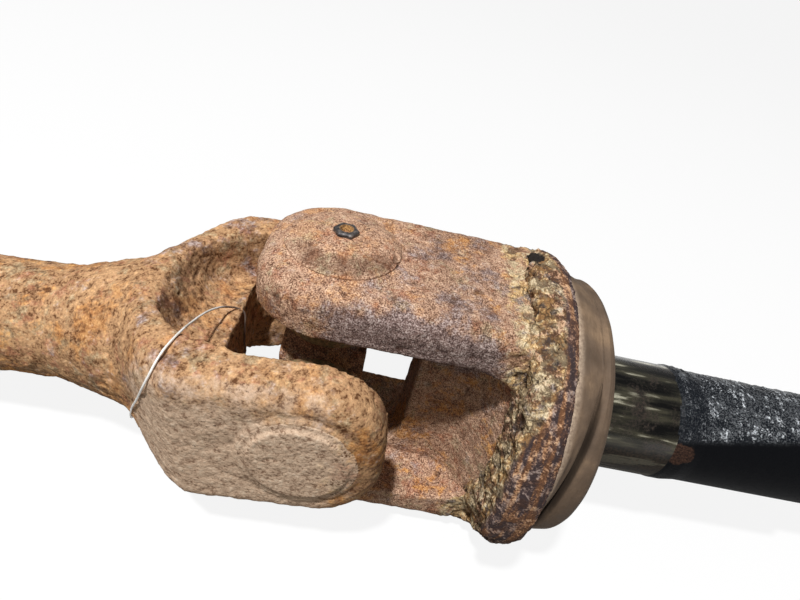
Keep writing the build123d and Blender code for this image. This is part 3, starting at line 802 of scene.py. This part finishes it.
class AXLE_OT_bearing_cups(PieceOperator):
    """The four needle cups, each crusted over with rust where it fills its ear."""

    bl_idname = "axle.bearing_cups"
    bl_label = "Bearing cups"

    VOXEL = 0.6
    CRUST_RADIUS = 20.2
    CRUST_RINGS = 10
    CRUST_STEPS = 72
    CROWN_RADIUS = 20.0
    CROWN_POWER = 3.4
    LOW_CROWN = 0.6
    STEP_SHARE = 0.13
    # Steps in height and radius from the rim of the crust down into the ear
    SKIRT = ((-0.8, -0.4), (-1.4, -2.8))

    def execute(self, context):
        rust = {
            "inner": rust_finish(
                "near_cup_rust", srgb(104, 74, 50), tuple(self.rust.dusty), srgb(220, 186, 148), 1.0,
                tuple(self.rust.dusty), grain=0.8, coarse=0.5, depth=0.5),
            "stub": rust_finish(
                "upper_cup_rust", srgb(100, 68, 50), tuple(self.rust.sandy), srgb(232, 198, 170), 43.0),
        }
        for arm, axis in ARM_AXES.items():
            body = CUP_BODIES[arm]
            crown = self.rust.crown / MM if arm == "upper" else self.LOW_CROWN
            work = joined(cad_copy("bearing_cup_" + arm), self.crust(arm, axis, crown))
            piece = new_piece("crusted_cup_" + arm, remeshed(work, self.VOXEL * MM))
            self.shape(piece, axis, body)
            dressed(piece, body, "cup_steel", rust[body])
            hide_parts("bearing_cup_" + arm)
        return {"FINISHED"}

    def crust(self, arm, axis, crown):
        """Low dome of rust over a cup, sunk into its floor."""
        face = BOSS_FACE[arm]
        dome = []
        for ring in range(self.CRUST_RINGS + 1):
            radius = self.CRUST_RADIUS * ring / self.CRUST_RINGS
            height = crown * (1 - min(radius / self.CROWN_RADIUS, 1.0) ** self.CROWN_POWER)
            dome.append((face + self.STEP_SHARE * crown + height, radius))
        dome += [(face + down, self.CRUST_RADIUS + inward) for down, inward in self.SKIRT]
        dome.append((face + self.SKIRT[-1][0], 0.0))
        turn = Vector((1, 0, 0)).rotation_difference(axis).to_matrix().to_4x4()
        return spun(dome, self.CRUST_STEPS, 2 * self.VOXEL, turn=turn)

    def shape(self, piece, axis, body):
        height = self.rust.height / MM * (0.5 if body == "inner" else 1.0)

        def rust_height(place, normal):
            outside = smooth(axis.dot(place), 49.5, 52.0)
            return forging_height(place, FORGING_SEEDS[body], height) * outside

        def dust(place, normal):
            return smooth(-place.y, 40, 50) * (0.85 - 0.5 * smooth(place.x, 2, 17))

        def flank(place, normal):
            around = hypot(place.x, place.y)
            return 0.5 * band(around, 10, 15, 19, 20.5) * smooth(-place.y, 2, 10)

        shaped(piece, rust_height)
        painted(
            piece, dust=dust, violet=everywhere(-0.02), orange=everywhere(0.3),
            soil=everywhere(0.0) if body == "inner" else flank)


class AXLE_OT_cross(PieceOperator):
    """Forged cross with rusted arms and bright trunnions, its guards, seals and washers."""

    bl_idname = "axle.cross"
    bl_label = "Cross and guards"

    VOXEL = 0.75
    SHOULDER = 21.3

    def execute(self, context):
        piece = new_piece("rusted_joint_cross", remeshed(cad_copy("joint_cross"), self.VOXEL * MM))
        height = self.rust.height / MM

        def rust_height(place, normal):
            furthest = max(abs(place.x), abs(place.y), abs(place.z))
            lumps = forging_height(place, FORGING_SEEDS["cross"], height)
            return 0.7 * lumps * (1 - smooth(furthest, 19.5, self.SHOULDER))

        shaped(piece, rust_height)
        painted(piece, violet=everywhere(0.0), orange=everywhere(0.4))
        for face in piece.data.polygons:
            furthest = max(abs(value) for value in face.center) / MM
            face.material_index = int(furthest > self.SHOULDER + 0.4)
        dressed(
            piece, "cross", "cross_steel",
            rust_finish("cross_rust", srgb(84, 58, 44), srgb(156, 112, 84), srgb(214, 166, 128), 91.0),
            bearing_finish("trunnion_steel", 93.0))
        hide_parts("joint_cross")
        guards = guard_finish()
        rubber = rubber_finish("cup_seal_rubber_face", srgb(44, 40, 36), 97.0)
        steel = bearing_finish("thrust_washer_steel", 99.0)
        for arm in ARM_AXES:
            refinish("seal_guard_" + arm, guards)
            refinish("cup_seal_" + arm, rubber)
            refinish("thrust_washer_" + arm, steel)
        return {"FINISHED"}


def refinish(node, finish):
    """Give a CAD node a better material in its own slots."""
    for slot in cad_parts[node].material_slots:
        slot.material = finish


def bearing_finish(name, seed):
    """Hardened bearing steel with a film of old brown grease."""
    finish = Finish(name)
    film = finish.noise(3.5, 4, 0.6, seed)
    scratches = finish.noise(0.5, 3, 0.6, seed + 2)
    steel = finish.shades(scratches, 0.15, (120, 118, 112), (176, 172, 164))
    share = finish.level(film, 0.46, 0.64)
    finish.bump(scratches, 0.03)
    return finish.set(
        Base_Color=finish.mix(share, steel, srgb(86, 60, 36)),
        Metallic=finish.level(film, 0.46, 0.64, 1.0, 0.2),
        Roughness=finish.level(film, 0.4, 0.66, 0.22, 0.5))


def guard_finish():
    """Pressed guard, olive and tan with dried dirt."""
    finish = Finish("guard_dirty_steel")
    dirt = finish.noise(4, 5, 0.66, 101.0)
    grains = finish.noise(0.9, 3, 0.6, 103.0)
    metal = finish.shades(grains, 0.15, (100, 86, 60), (160, 140, 100))
    mud = finish.shades(grains, 0.15, (124, 90, 62), (196, 156, 116))
    finish.bump(finish.plus(dirt, grains, 0.5), 0.3)
    return finish.set(
        Base_Color=finish.mix(finish.level(dirt, 0.44, 0.6), metal, mud),
        Roughness=finish.level(dirt, 0.3, 0.7, 0.5, 0.9),
        Metallic=finish.level(dirt, 0.44, 0.6, 0.35, 0.0))


def rubber_finish(name, main, seed):
    """Old rubber with fine dust."""
    finish = Finish(name)
    dust = finish.noise(5, 5, 0.6, seed)
    grains = finish.noise(0.8, 3, 0.6, seed + 2)
    dusty = tuple(0.55 * value + 0.12 for value in main)
    finish.bump(grains, 0.08)
    return finish.set(
        Base_Color=finish.mix(finish.level(dust, 0.4, 0.66), main, dusty),
        Roughness=finish.level(grains, 0.3, 0.7, 0.7, 0.92))


class AXLE_OT_dust_slinger(PieceOperator):
    """Dust slinger under thick flaking scale, its rim broken away in places."""

    bl_idname = "axle.dust_slinger"
    bl_label = "Dust slinger"

    PROFILE = [
        (70.5, 34.0), (66.0, 36.5), (65.4, 41.0), (65.8, 47.0), (65.2, 53.0), (65.2, 57.0), (66.6, 58.6),
        (69.5, 59.0), (76.5, 59.0), (79.2, 58.0), (79.8, 55.0), (79.0, 53.2), (77.9, 52.4), (77.9, 34.0),
    ]
    STEPS = 600
    DIVIDE = 0.62
    # Each chip's angle, its reach in degrees and its depth
    CHIPS = ((-142.0, 26.0, 5.5), (66.0, 20.0, 3.0), (12.0, 14.0, 2.2), (-70.0, 16.0, 2.4))

    def execute(self, context):
        piece = new_piece("scaled_dust_slinger", spun(self.PROFILE, self.STEPS, self.DIVIDE))
        flake = self.seal.flake / MM
        flake_height = self.seal.flake_height / MM

        def scale_height(place, normal):
            radius = hypot(place.y, place.z)
            seat = smooth(radius, 34.3, 37.0)
            back = smooth(place.x, 76.8, 77.6) * (1 - smooth(radius, 50.0, 54.0))
            outward = flake_height * flake_relief(place, flake) * (1 - 0.75 * self.rim(place, normal))
            return outward * seat * (1 - back)

        def plate(place, normal):
            return noise.cell(place / 2.6 + noise.noise_vector(place / 3))

        self.chipped(piece)
        shaped(piece, scale_height)
        for vertex in piece.data.vertices:
            vertex.co.z = max(vertex.co.z, FLOOR_HEIGHT * MM)
        painted(piece, rim=self.rim, streaks=self.streaks, flake=plate)
        dressed(piece, "stub", "slinger_scale", scale_finish())
        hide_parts("dust_slinger")
        return {"FINISHED"}

    def rim(self, place, normal):
        """1 on the outer band of the slinger, which narrows towards the top, and 0 on its flaking front."""
        edge = 64.2 + 10.0 * (1 - smooth(from_top(place), 36, 72)) + 0.8 * noise.noise(place / 4)
        return smooth(place.x, edge, edge + 1.0) * smooth(hypot(place.y, place.z), 54.5, 57.0)

    def streaks(self, place, normal):
        """Long marks that run round the slinger."""
        round_rim = hypot(place.y, place.z) * atan2(place.z, place.y)
        along = Vector((place.x / 2.2, round_rim / 20.0, hypot(place.y, place.z) / 4.0))
        return 0.5 + 0.5 * noise.fractal(along, 0.8, 2.2, 4)

    def chipped(self, piece):
        """Break the front rim away round a few places."""
        for vertex in piece.data.vertices:
            place = vertex.co / MM
            radius = hypot(place.y, place.z)
            for centre, reach, depth in self.CHIPS:
                near = 1 - smooth(angle_from(place, centre), 0.45 * reach, reach)
                share = near * smooth(radius, 44.0, 54.0)
                front = 1 - smooth(place.x, 68.0, 76.0)
                place.x += depth * share * front
                shrink = 1 - 0.045 * share * smooth(radius, 54, 58) * (0.4 + 0.6 * front) * depth / 5.0
                place.y *= shrink
                place.z *= shrink
            vertex.co = place * MM


def scale_finish():
    """Flaking scale with dark gaps and painted shade in the low points of its relief, and a violet-brown
    rim with orange streaks round it.
    """
    finish = Finish("flaking_scale")
    second = finish.noise(8, 5, 0.7, 113.0)
    grains = finish.noise(0.7, 3, 0.7, 115.0)
    tone = finish.plus(finish.times(grains, 0.86), finish.attribute("flake"), 0.14)
    face = flake_colours(finish, tone)
    brown = finish.shades(tone, 0.1, (84, 60, 50), (142, 108, 88), (190, 152, 126))
    slate = finish.shades(tone, 0.1, (66, 54, 54), (116, 96, 90), (168, 150, 142))
    orange = finish.shades(tone, 0.1, (116, 80, 56), (180, 134, 98), (226, 184, 144))
    streaks = finish.plus(finish.attribute("streaks"), grains, 0.6)
    rim = finish.mix(finish.level(streaks, 0.66, 0.98), slate, orange)
    rim = finish.mix(finish.level(second, 0.50, 0.62, 0, 0.7), rim, brown)
    colour = finish.mix(finish.attribute("rim"), face, rim)
    tar = finish.ball((64.0, 16.0, 54.0), 12.0, 0.5)
    tar = finish.level(finish.plus(tar, second, 1.2), 1.05, 1.25)
    colour = finish.mix(tar, colour, srgb(44, 38, 34))
    # Painted shade: low points of the scale's relief are darkened towards dark brown.
    hollow = finish.level(finish.attribute("rust_depth"), -0.6, -0.1)
    colour = finish.mix(hollow, srgb(48, 34, 26), colour)
    finish.bump(finish.plus(grains, second, 0.5), 0.8)
    return finish.set(Base_Color=colour, Roughness=0.9, Specular_IOR_Level=0.2)


class AXLE_OT_shaft_seal(PieceOperator):
    """Broad rubber seal with its dusty skin, thin lip and the slit between lip and body."""

    bl_idname = "axle.shaft_seal"
    bl_label = "Shaft seal"

    PROFILE = [
        (80.1, 31.1), (80.1, 40.0), (78.1, 40.0), (78.1, 51.2), (78.6, 52.1), (79.8, 52.6), (83.4, 52.6),
        (84.6, 52.1), (85.8, 51.4), (86.8, 50.5), (87.3, 49.3), (87.4, 45.0), (89.2, 45.0), (89.3, 49.0),
        (89.8, 50.2), (91.6, 50.5), (94.6, 49.9), (96.2, 48.6), (97.2, 46.8), (97.4, 45.0), (96.8, 42.6),
        (92.2, 36.2), (90.2, 31.1),
    ]
    STEPS = 320
    DIVIDE = 0.8
    SLIT_MIDDLE = (87.4 + 89.2) / 2
    FOLD_BESIDE = -3.4

    def execute(self, context):
        piece = new_piece("dusty_shaft_seal", spun(self.PROFILE, self.STEPS, self.DIVIDE))
        for vertex in piece.data.vertices:
            vertex.co = self.settled(vertex.co / MM) * MM
        shaped(piece, lambda place, normal: 0.12 * noise.noise(place / 9.0) - 0.45 * self.fold(place))
        # Painted shade: the open slit and the shallow fold beside it are stored as dark shares.
        painted(piece, fold=lambda place, normal: max(self.slit(place), 0.6 * self.fold(place)))
        dressed(piece, "stub", "seal_rubber", seal_finish(tuple(self.seal.rubber)))
        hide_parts("shaft_seal")
        refinish("seal_case", guard_finish())
        return {"FINISHED"}

    def middle(self, place):
        """Where the slit runs, in millimetres along the shaft."""
        return self.SLIT_MIDDLE + 2.8 - 5.0 * smooth(from_top(place), 34, 95)

    def fold(self, place):
        """1 in a shallow fold that runs beside the slit on the near side."""
        apart = abs(place.x - self.middle(place) - self.FOLD_BESIDE)
        return band(from_top(place), 50, 70, 96, 112) * (1 - smooth(apart, 0.2, 1.1))

    def slit(self, place):
        """1 in the slit where it is open."""
        opened = smooth(from_top(place), 38, 58)
        deep = 1 - smooth(hypot(place.y, place.z), 49.9, 50.4)
        return opened * deep * (1 - smooth(abs(place.x - self.middle(place)), 1.2, 2.4))

    def settled(self, place):
        """Close the slit above, widen it below, and let it wander along the shaft as it rises."""
        radius = hypot(place.y, place.z)
        top_angle = from_top(place)
        middle = self.SLIT_MIDDLE
        outer = smooth(radius, 43.0, 47.0)
        closed = 1 - smooth(top_angle, 30, 52)
        near_slit = band(place.x, 82.5, 86.8, 89.8, 95.4)
        inside = band(place.x, 86.0, 87.3, 89.3, 90.2)
        if inside * outer:
            place.x = middle + (place.x - middle) * (1 - 0.85 * closed * inside * outer)
            fill = closed * (50.6 - radius) * inside * smooth(radius, 44.5, 46.0)
            scale = (radius + max(fill, 0.0)) / radius
            place.y *= scale
            place.z *= scale
        side = 0.7 if place.x > middle else -0.7
        place.x += side * smooth(top_angle, 64, 110) * near_slit * outer
        place.x += (self.middle(place) - middle) * near_slit * outer
        return place


def seal_finish(rubber):
    """Matt rubber under tan dust, paler on the inner lip, with painted shade in the slit and in the fold
    beside it.
    """
    finish = Finish("dusty_seal_rubber")
    dust = finish.noise(14, 5, 0.55, 121.0)
    grains = finish.noise(0.9, 3, 0.6, 123.0)
    streaks = finish.noise(3, 4, 0.6, 125.0, place=finish.stretched((3.0, 1.0, 1.0)))
    # Darker rubber where the dust noise is low.
    dark_rubber = tuple(0.7 * value for value in rubber)
    main = finish.ramp(dust, (0.36, dark_rubber), (0.5, rubber), (0.66, srgb(134, 111, 88)))
    lip = finish.level(finish.along("X"), 81.4 * MM, 84.6 * MM, 0.9, 0.0)
    pale = finish.shades(grains, 0.14, (156, 136, 118), (200, 178, 154))
    colour = finish.mix(lip, main, pale)
    colour = finish.mix(finish.level(streaks, 0.4, 0.7, 0.0, 0.4), colour, srgb(88, 70, 54))
    # Painted shade in the slit and the fold, towards dark brown.
    colour = finish.mix(finish.times(finish.attribute("fold"), 0.8), colour, srgb(48, 38, 30))
    finish.bump(finish.plus(grains, streaks), 0.12)
    return finish.set(
        Base_Color=colour, Roughness=finish.level(dust, 0.3, 0.7, 0.72, 0.9), Specular_IOR_Level=0.3)


class AXLE_OT_grease_fitting(PieceOperator):
    """Worn hexagonal grease fitting with rust packed into its dimple."""

    bl_idname = "axle.grease_fitting"
    bl_label = "Grease fitting"

    VOXEL = 0.16
    DIMPLE_RADIUS = 2.1

    def execute(self, context):
        piece = new_piece("worn_grease_fitting", remeshed(cad_copy("grease_fitting"), self.VOXEL * MM))
        shaped(piece, lambda place, normal: 0.07 * noise.fractal(place / 1.3, 0.9, 2.0, 3) - 0.05)
        painted(piece, dimple=self.dimple)
        dressed(piece, "stub", "fitting_steel", fitting_finish())
        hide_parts("grease_fitting")
        refinish("fitting_ball", bearing_finish("fitting_ball_steel", 131.0))
        return {"FINISHED"}

    def dimple(self, place, normal):
        """1 in the dimple, 0 on the hexagon round it."""
        return 1 - smooth(hypot(place.x, place.y), self.DIMPLE_RADIUS, self.DIMPLE_RADIUS + 0.6)


def fitting_finish():
    """Dark blue-grey steel with rust in the dimple."""
    finish = Finish("blued_fitting_steel")
    wear = finish.noise(1.6, 4, 0.65, 141.0)
    grains = finish.noise(0.5, 3, 0.6, 143.0)
    steel = finish.ramp(
        wear, (0.38, srgb(42, 40, 42)), (0.52, srgb(82, 77, 76)), (0.66, srgb(130, 120, 112)))
    rust = finish.ramp(
        grains, (0.36, srgb(78, 52, 28)), (0.52, srgb(150, 108, 60)), (0.66, srgb(208, 164, 104)))
    dimple = finish.attribute("dimple")
    finish.bump(finish.plus(wear, grains), 0.12)
    return finish.set(
        Base_Color=finish.mix(dimple, steel, rust),
        Metallic=finish.level(dimple, 0, 1, 0.45, 0.0),
        Roughness=finish.blend(dimple, 0.45, 0.9))


class AXLE_OT_inner_parts(PieceOperator):
    """Finishes of the needle rollers and the snap clips."""

    bl_idname = "axle.inner_parts"
    bl_label = "Rollers and clips"

    def execute(self, context):
        rollers = bearing_finish("needle_roller_steel", 151.0)
        clips = machined_finish("snap_clip_steel", 153.0)
        for arm in ARM_AXES:
            refinish("needle_rollers_" + arm, rollers)
            refinish("snap_clip_" + arm, clips)
        return {"FINISHED"}


class AXLE_OT_tie_wire(PieceOperator):
    """Thin bright wire tied round the near arm of the inner yoke."""

    bl_idname = "axle.tie_wire"
    bl_label = "Tie wire"

    # Points in the yoke's own frame: up its near side, over the hollow above, down the throat and back
    LOOP = (
        (-63.6, -33.2, -8.4), (-52.8, -43.5, 12.9), (-45.6, -47.4, 27.5), (-43.5, -43.1, 32.0),
        (-42.5, -35.8, 32.3), (-41.7, -31.4, 32.0), (-42.2, -21.2, 27.5),
        (-41.7, -11.2, 23.4), (-40.8, -5.1, 20.5), (-39.6, -0.3, 17.8), (-38.4, 3.5, 15.0),
        (-36.4, 6.6, 12.3), (-34.1, 7.6, 10.0), (-33.9, 6.6, 3.0), (-33.9, 5.2, -4.0),
        (-34.1, 4.2, -10.4), (-37.0, 2.6, -12.2), (-44.0, -1.6, -16.0), (-53.0, -6.4, -24.8),
        (-58.6, -10.0, -31.0), (-62.4, -12.8, -31.6), (-66.2, -16.2, -29.2), (-68.4, -20.0, -24.6),
        (-67.6, -25.6, -20.2), (-66.0, -30.4, -15.2),
    )

    def execute(self, context):
        curve = bpy.data.curves.new("tie_wire", "CURVE")
        curve.dimensions = "3D"
        curve.bevel_depth = self.seal.wire / 2
        curve.bevel_resolution = 3
        curve.resolution_u = 6
        spline = curve.splines.new("BEZIER")
        to_frame = Matrix.Rotation(BEND, 3, "Y")
        spline.bezier_points.add(len(self.LOOP) - 1)
        for point, place in zip(spline.bezier_points, self.LOOP):
            point.co = to_frame @ Vector(place) * MM
            point.handle_left_type = "AUTO"
            point.handle_right_type = "AUTO"
        spline.use_cyclic_u = True
        mesh = worked_out(linked("tie_wire_line", curve))
        mesh.shade_smooth()
        mesh.materials.clear()
        piece = linked("tie_wire", mesh)
        # Brown towards the throat: partly rust and partly painted shade.
        painted(piece, browned=lambda place, normal: smooth((place @ to_frame).x, -40.4, -38.6))
        dressed(piece, "inner", "clip_steel", wire_finish())
        return {"FINISHED"}


def wire_finish():
    """Bright bare wire, dulled in places, and brown where it lies in the throat, partly rust and partly
    painted shade of the dark throat.
    """
    finish = Finish("bright_tie_wire")
    dull = finish.noise(4, 4, 0.6, 161.0)
    scratches = finish.noise(0.6, 3, 0.6, 163.0)
    colour = finish.ramp(dull, (0.36, srgb(224, 219, 208)), (0.6, srgb(252, 250, 246)))
    browned = finish.attribute("browned")
    # Partly rust, partly painted shade: dark brown where the wire runs into the throat.
    colour = finish.mix(finish.times(browned, 0.9), colour, srgb(98, 66, 44))
    finish.bump(scratches, 0.04)
    return finish.set(
        Base_Color=colour, Metallic=finish.level(browned, 0, 1, 0.1, 0.0),
        Roughness=finish.blend(browned, finish.level(scratches, 0.3, 0.7, 0.2, 0.4), 0.85))


class AXLE_OT_stage(PieceOperator):
    """Pale floor, soft light from above and the photograph's camera."""

    bl_idname = "axle.stage"
    bl_label = "Stage"

    FLOOR_SIZE = 20.0
    KEY_PLACE = Vector((-0.28, -0.45, 1.24))
    KEY_SIZE = 0.08
    WORLD_STRENGTH = 0.24
    BOUNCE = (118, 114, 108)
    GLOW = 0.88

    def execute(self, context):
        settings = bpy.context.scene.axle_stage
        self.floor(tuple(settings.floor))
        self.key(settings.key)
        self.world()
        self.camera()
        bpy.context.scene.view_settings.view_transform = "Standard"
        return {"FINISHED"}

    def floor(self, colour):
        work = bmesh.new()
        bmesh.ops.create_grid(work, x_segments=1, y_segments=1, size=self.FLOOR_SIZE)
        bmesh.ops.translate(work, vec=(0, 0, FLOOR_HEIGHT * MM), verts=work.verts)
        floor = new_piece("stage_floor", work)
        finish = Finish("pale_floor")
        seen = finish.node("LightPath", {}).outputs
        shade = finish.mix(seen["Is Camera Ray"], srgb(*self.BOUNCE), colour)
        finish.set(Base_Color=shade, Roughness=0.9, Specular_IOR_Level=0.0)
        glow = finish.node("Emission", {"Color": (1, 1, 1, 1), "Strength": 1.0})
        direct = finish.highest(seen["Is Camera Ray"], seen["Is Glossy Ray"])
        direct = finish.highest(direct, seen["Is Transmission Ray"])
        share = finish.times(direct, self.GLOW)
        both = finish.node("MixShader", {0: share, 1: finish.shader.outputs[0], 2: glow.outputs[0]})
        finish.links.new(both.outputs[0], finish.nodes["Material Output"].inputs["Surface"])
        floor.data.materials.append(finish.material)

    def key(self, power):
        light = bpy.data.lights.new("key_light", "AREA")
        light.shape = "DISK"
        light.size = self.KEY_SIZE
        light.energy = power
        lamp = linked("key_light", light)
        lamp.location = self.KEY_PLACE
        lamp.rotation_euler = self.KEY_PLACE.to_track_quat("Z", "Y").to_euler()

    def world(self):
        world = bpy.data.worlds.new("studio")
        world.use_nodes = True
        nodes = world.node_tree.nodes
        links = world.node_tree.links
        sky = nodes["Background"]
        sky.inputs["Color"].default_value = (1, 1, 1, 1)
        sky.inputs["Strength"].default_value = self.WORLD_STRENGTH
        seen = nodes.new("ShaderNodeLightPath")
        white = nodes.new("ShaderNodeBackground")
        white.inputs["Color"].default_value = (1, 1, 1, 1)
        white.inputs["Strength"].default_value = 1.0
        shares = nodes.new("ShaderNodeMixShader")
        links.new(seen.outputs["Is Camera Ray"], shares.inputs[0])
        links.new(sky.outputs[0], shares.inputs[1])
        links.new(white.outputs[0], shares.inputs[2])
        links.new(shares.outputs[0], nodes["World Output"].inputs["Surface"])
        bpy.context.scene.world = world

    def camera(self):
        lens = bpy.data.cameras.new("photo_camera")
        lens.sensor_width = SENSOR_WIDTH
        lens.lens = FOCAL_PIXELS * SENSOR_WIDTH / PICTURE_WIDTH
        lens.clip_start = 0.01
        camera = linked("photo_camera", lens)
        right = CAMERA_RIGHT.normalized()
        up = (CAMERA_UP - right * right.dot(CAMERA_UP)).normalized()
        turn = Matrix((right, up, right.cross(up))).transposed()
        camera.matrix_world = Matrix.Translation(CAMERA_PLACE) @ turn.to_4x4()
        bpy.context.scene.camera = camera


class AXLE_PT_pieces(bpy.types.Panel):
    """Sidebar panel that lists the pieces and their settings."""

    bl_idname = "AXLE_PT_pieces"
    bl_label = "Axle shaft"
    bl_space_type = "VIEW_3D"
    bl_region_type = "UI"
    bl_category = "Axle shaft"

    def draw(self, context):
        for operator in OPERATORS:
            self.layout.operator(operator.bl_idname)
        for group in ("axle_rust", "axle_seal", "axle_stage"):
            settings = getattr(context.scene, group)
            box = self.layout.box()
            for name in settings.bl_rna.properties.keys():
                if name not in ("rna_type", "name"):
                    box.prop(settings, name)


OPERATORS = (
    AXLE_OT_stage, AXLE_OT_inner_shaft, AXLE_OT_stub_shaft, AXLE_OT_cross, AXLE_OT_bearing_cups,
    AXLE_OT_dust_slinger, AXLE_OT_shaft_seal, AXLE_OT_grease_fitting, AXLE_OT_inner_parts, AXLE_OT_tie_wire,
)
SETTINGS = {"axle_rust": AxleRustSettings, "axle_seal": AxleSealSettings, "axle_stage": AxleStageSettings}
CLASSES = (*SETTINGS.values(), *OPERATORS, AXLE_PT_pieces)


def register():
    noise.seed_set(NOISE_SEED)
    for entry in CLASSES:
        bpy.utils.register_class(entry)
    for name, group in SETTINGS.items():
        setattr(bpy.types.Scene, name, PointerProperty(type=group))


def unregister():
    for name in SETTINGS:
        delattr(bpy.types.Scene, name)
    for entry in reversed(CLASSES):
        bpy.utils.unregister_class(entry)


def main():
    register()
    for operator in OPERATORS:
        group, name = operator.bl_idname.split(".")
        getattr(getattr(bpy.ops, group), name)()
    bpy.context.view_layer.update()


if __name__ == "__main__":
    main()
